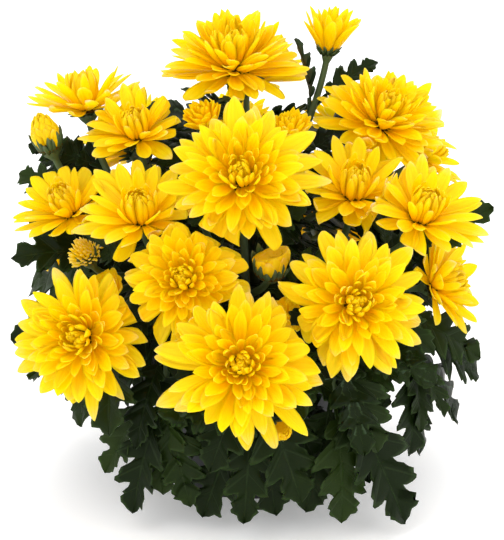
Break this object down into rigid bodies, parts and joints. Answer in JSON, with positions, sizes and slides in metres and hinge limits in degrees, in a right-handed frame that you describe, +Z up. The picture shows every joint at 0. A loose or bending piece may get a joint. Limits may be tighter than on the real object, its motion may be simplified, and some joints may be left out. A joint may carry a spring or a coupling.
{
  "type": "potted chrysanthemum",
  "caption": "Dome of leafy stems in a plain round pot, with layered yellow daisy-like blooms, cupped young flowers and buds.",
  "frame": {"origin": "centre of the pot's flat base, on the surface it stands on", "axes": "+Z up along the pot's axis, front of the plant towards -Y, its right side towards +X"},
  "size_m": [0.248, 0.2892, 0.2474],
  "materials": {
    "petal": "matte",
    "green": "satin",
    "soil": "matte",
    "pot": "satin"
  },
  "bodies": {
    "root": {"pot": "pot", "soil": "soil", "cutting_centre": "green", "cutting_front": "green", "cutting_right": "green", "cutting_left": "green", "cutting_back": "green", "crown": "petal", "top_cup": "petal", "right_top": "petal", "behind_middle": "petal", "under_crown": "petal", "right_back": "petal", "top_back": "petal", "middle": "petal", "lower_middle": "petal", "bottom_middle": "petal", "middle_bud": "petal", "behind_bottom": "petal", "bottom_bud": "petal", "shy_middle": "petal", "lower_right": "petal", "right_inner": "petal", "right_outer": "petal", "right_side": "petal", "back_right": "petal", "left_top": "petal", "left_upper": "petal", "left_outer": "petal", "left_inner": "petal", "lower_left": "petal", "left_bud": "petal", "green_bud": "petal", "shy_left": "petal", "back_low": "petal", "back_left_low": "petal", "left_back": "petal", "back_right_mid": "petal", "back_mid": "petal", "back_left_mid": "petal", "back_bud": "petal", "back_left_bud": "petal"}
  },
  "joints": []
}
